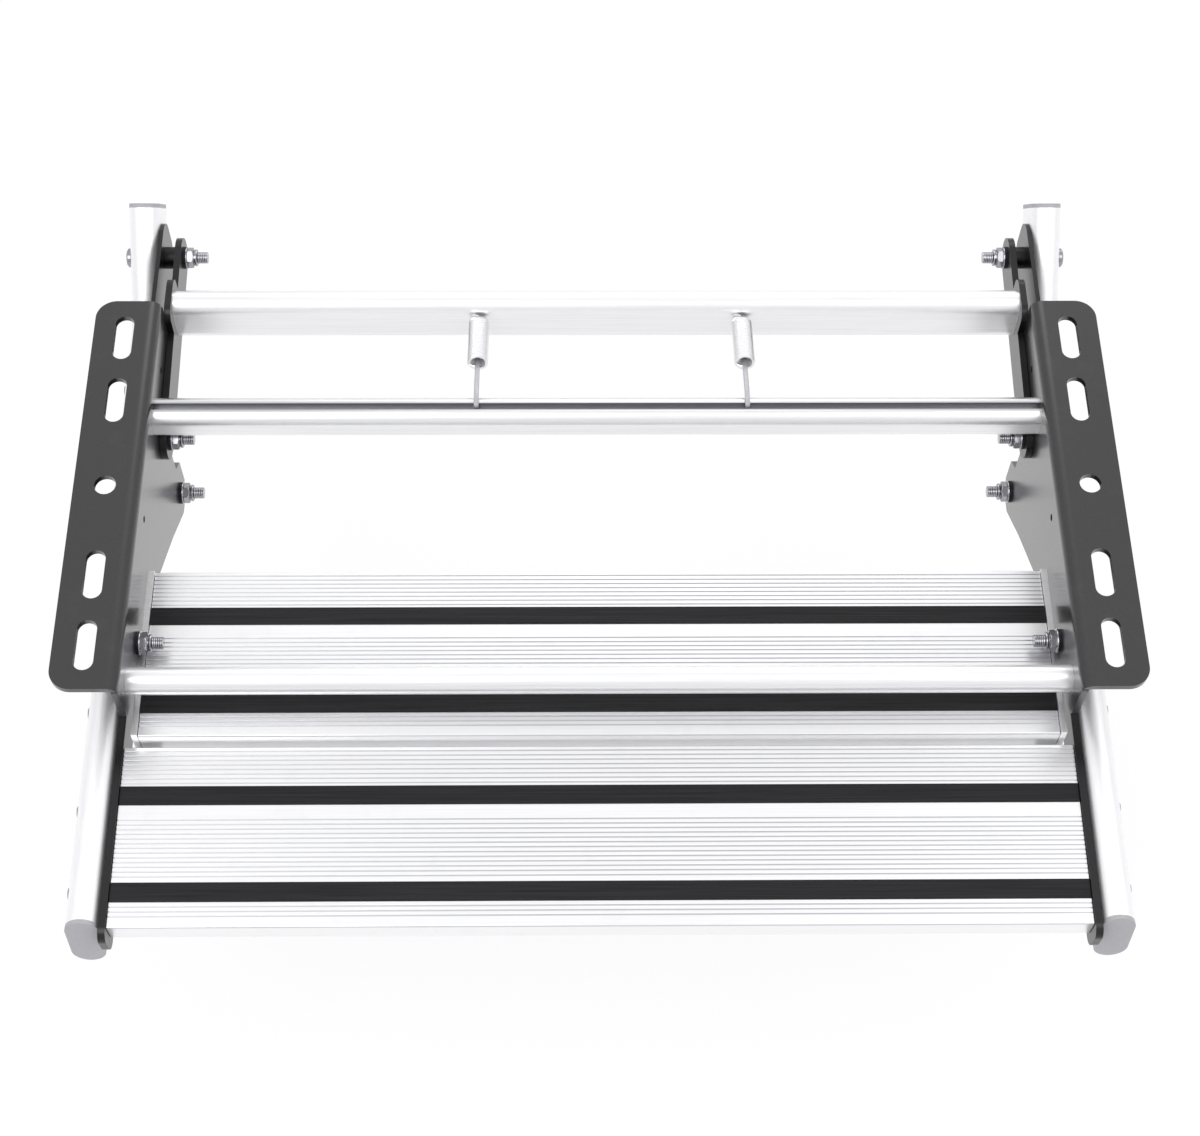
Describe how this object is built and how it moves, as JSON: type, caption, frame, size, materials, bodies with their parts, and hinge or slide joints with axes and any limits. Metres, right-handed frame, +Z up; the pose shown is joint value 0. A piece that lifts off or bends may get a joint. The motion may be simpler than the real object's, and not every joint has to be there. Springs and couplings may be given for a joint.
{
  "type": "portable camper step",
  "caption": "Folding double entrance step with ribbed metal treads, stowed between two slotted floor brackets, lowering on swing arms and links.",
  "frame": {"origin": "midway between the two centre holes, on the upper faces of the mounting flanges", "axes": "+Z up against the vehicle floor, +X to the right seen from in front of the step, -Y out of the vehicle"},
  "size_m": [0.7, 0.5601, 0.15],
  "materials": {
    "bracket_paint": "satin powder coat, dark grey",
    "plate_paint": "satin powder coat, near black",
    "tube_aluminium": "satin anodised",
    "bar_aluminium": "satin anodised",
    "tread_aluminium": "extruded, satin, ribbed",
    "strip_rubber": "matt",
    "cap_plastic": "matt grey",
    "bush_plastic": "smooth",
    "fastener_steel": "bright zinc plated",
    "spring_steel": "bright zinc plated"
  },
  "bodies": {
    "chassis": {"left_bracket": "bracket_paint", "right_bracket": "bracket_paint", "fixed_crossrail": "bar_aluminium", "front_crossbar": "bar_aluminium", "upper_tread": "tread_aluminium", "upper_tread_rear_strip": "strip_rubber", "upper_tread_front_strip": "strip_rubber", "left_tread_angle": "plate_paint", "right_tread_angle": "plate_paint", "upper_tread_screws": "fastener_steel", "arm_pivot_bolts": "fastener_steel", "link_pivot_bolts": "fastener_steel", "stop_bolts": "fastener_steel", "bracket_washers": "fastener_steel", "bracket_nuts": "fastener_steel", "left_spring": "spring_steel", "right_spring": "spring_steel", "left_spring_strap": "spring_steel", "right_spring_strap": "spring_steel"},
    "rear_arms": {"left_swing_arm": "plate_paint", "right_swing_arm": "plate_paint", "arm_crossbar": "bar_aluminium", "arm_bushes": "bush_plastic"},
    "front_links": {"left_front_link": "plate_paint", "right_front_link": "plate_paint"},
    "lower_step": {"frame_bolts": "fastener_steel", "frame_nuts": "fastener_steel", "frame_spacers": "fastener_steel", "frame_washers": "fastener_steel", "left_pivot_plate": "plate_paint", "left_side_plate": "plate_paint", "left_side_tube": "tube_aluminium", "link_pins": "fastener_steel", "lower_tread": "tread_aluminium", "lower_tread_front_strip": "strip_rubber", "lower_tread_rear_strip": "strip_rubber", "lower_tread_screws": "fastener_steel", "right_pivot_plate": "plate_paint", "right_side_plate": "plate_paint", "right_side_tube": "tube_aluminium", "side_screws": "fastener_steel", "tube_front_caps": "cap_plastic", "tube_rear_caps": "cap_plastic"}
  },
  "joints": [
    {"name": "arm_swing", "type": "hinge", "parent": "chassis", "child": "rear_arms", "pos_m": [0, 0.072, -0.054], "axis": [-1, 0, 0], "range_deg": [0, 76], "stiffness_Nm_per_rad": 3.2, "springref_deg": -143.24, "deforming": ["left_spring", "right_spring", "left_spring_strap", "right_spring_strap"]},
    {"name": "link_swing", "type": "hinge", "parent": "chassis", "child": "front_links", "pos_m": [0, -0.095, -0.046], "axis": [-1, 0, 0], "range_deg": [0, 76]},
    {"name": "lower_step_level", "type": "hinge", "parent": "rear_arms", "child": "lower_step", "pos_m": [0, 0.2195, -0.0374], "axis": [-1, 0, 0], "range_deg": [-76, 0]}
  ],
  "couplings": [
    {"joint": "link_swing", "follows": "arm_swing", "ratio": 1},
    {"joint": "lower_step_level", "follows": "arm_swing", "ratio": -1}
  ]
}
